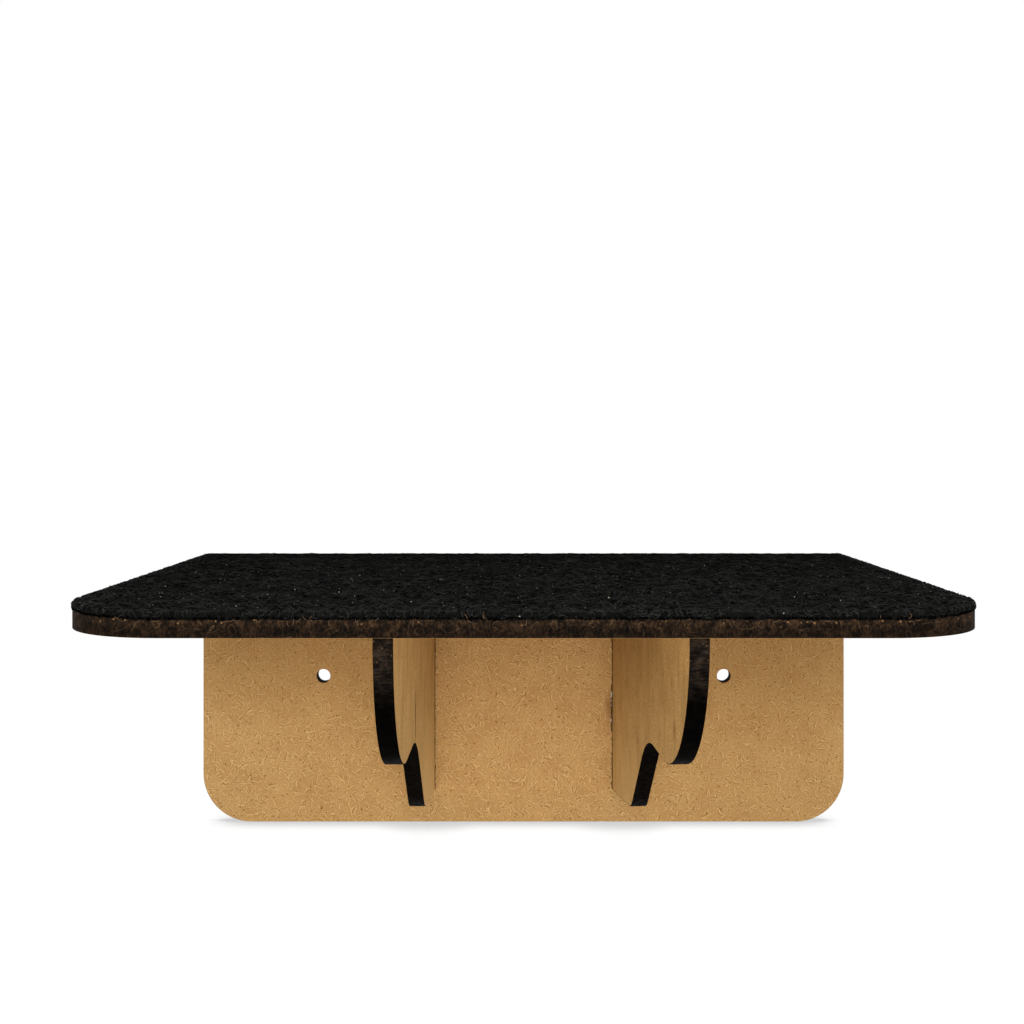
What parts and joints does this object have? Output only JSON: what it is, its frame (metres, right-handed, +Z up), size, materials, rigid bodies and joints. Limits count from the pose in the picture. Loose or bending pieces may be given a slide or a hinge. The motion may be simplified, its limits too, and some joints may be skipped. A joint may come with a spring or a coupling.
{
  "type": "cat wall shelf",
  "caption": "Cat shelf that screws to a wall through its back plate: a carpeted board with rounded front corners, carried by curved sheet brackets.",
  "frame": {"origin": "on the wall plane, midway between the screw holes of the back plate", "axes": "+X along the wall to the right as seen from the room, +Y into the wall, +Z up; the shelf reaches towards -Y"},
  "size_m": [0.4, 0.3, 0.1675],
  "materials": {
    "raw_mdf": "raw fibreboard faces with laser-charred dark edges",
    "black_carpet": "needle-punched black pile"
  },
  "bodies": {
    "root": {"carpet_mat": "black_carpet", "shelf_board": "raw_mdf", "back_plate": "raw_mdf", "left_bracket": "raw_mdf", "right_bracket": "raw_mdf"}
  },
  "joints": []
}
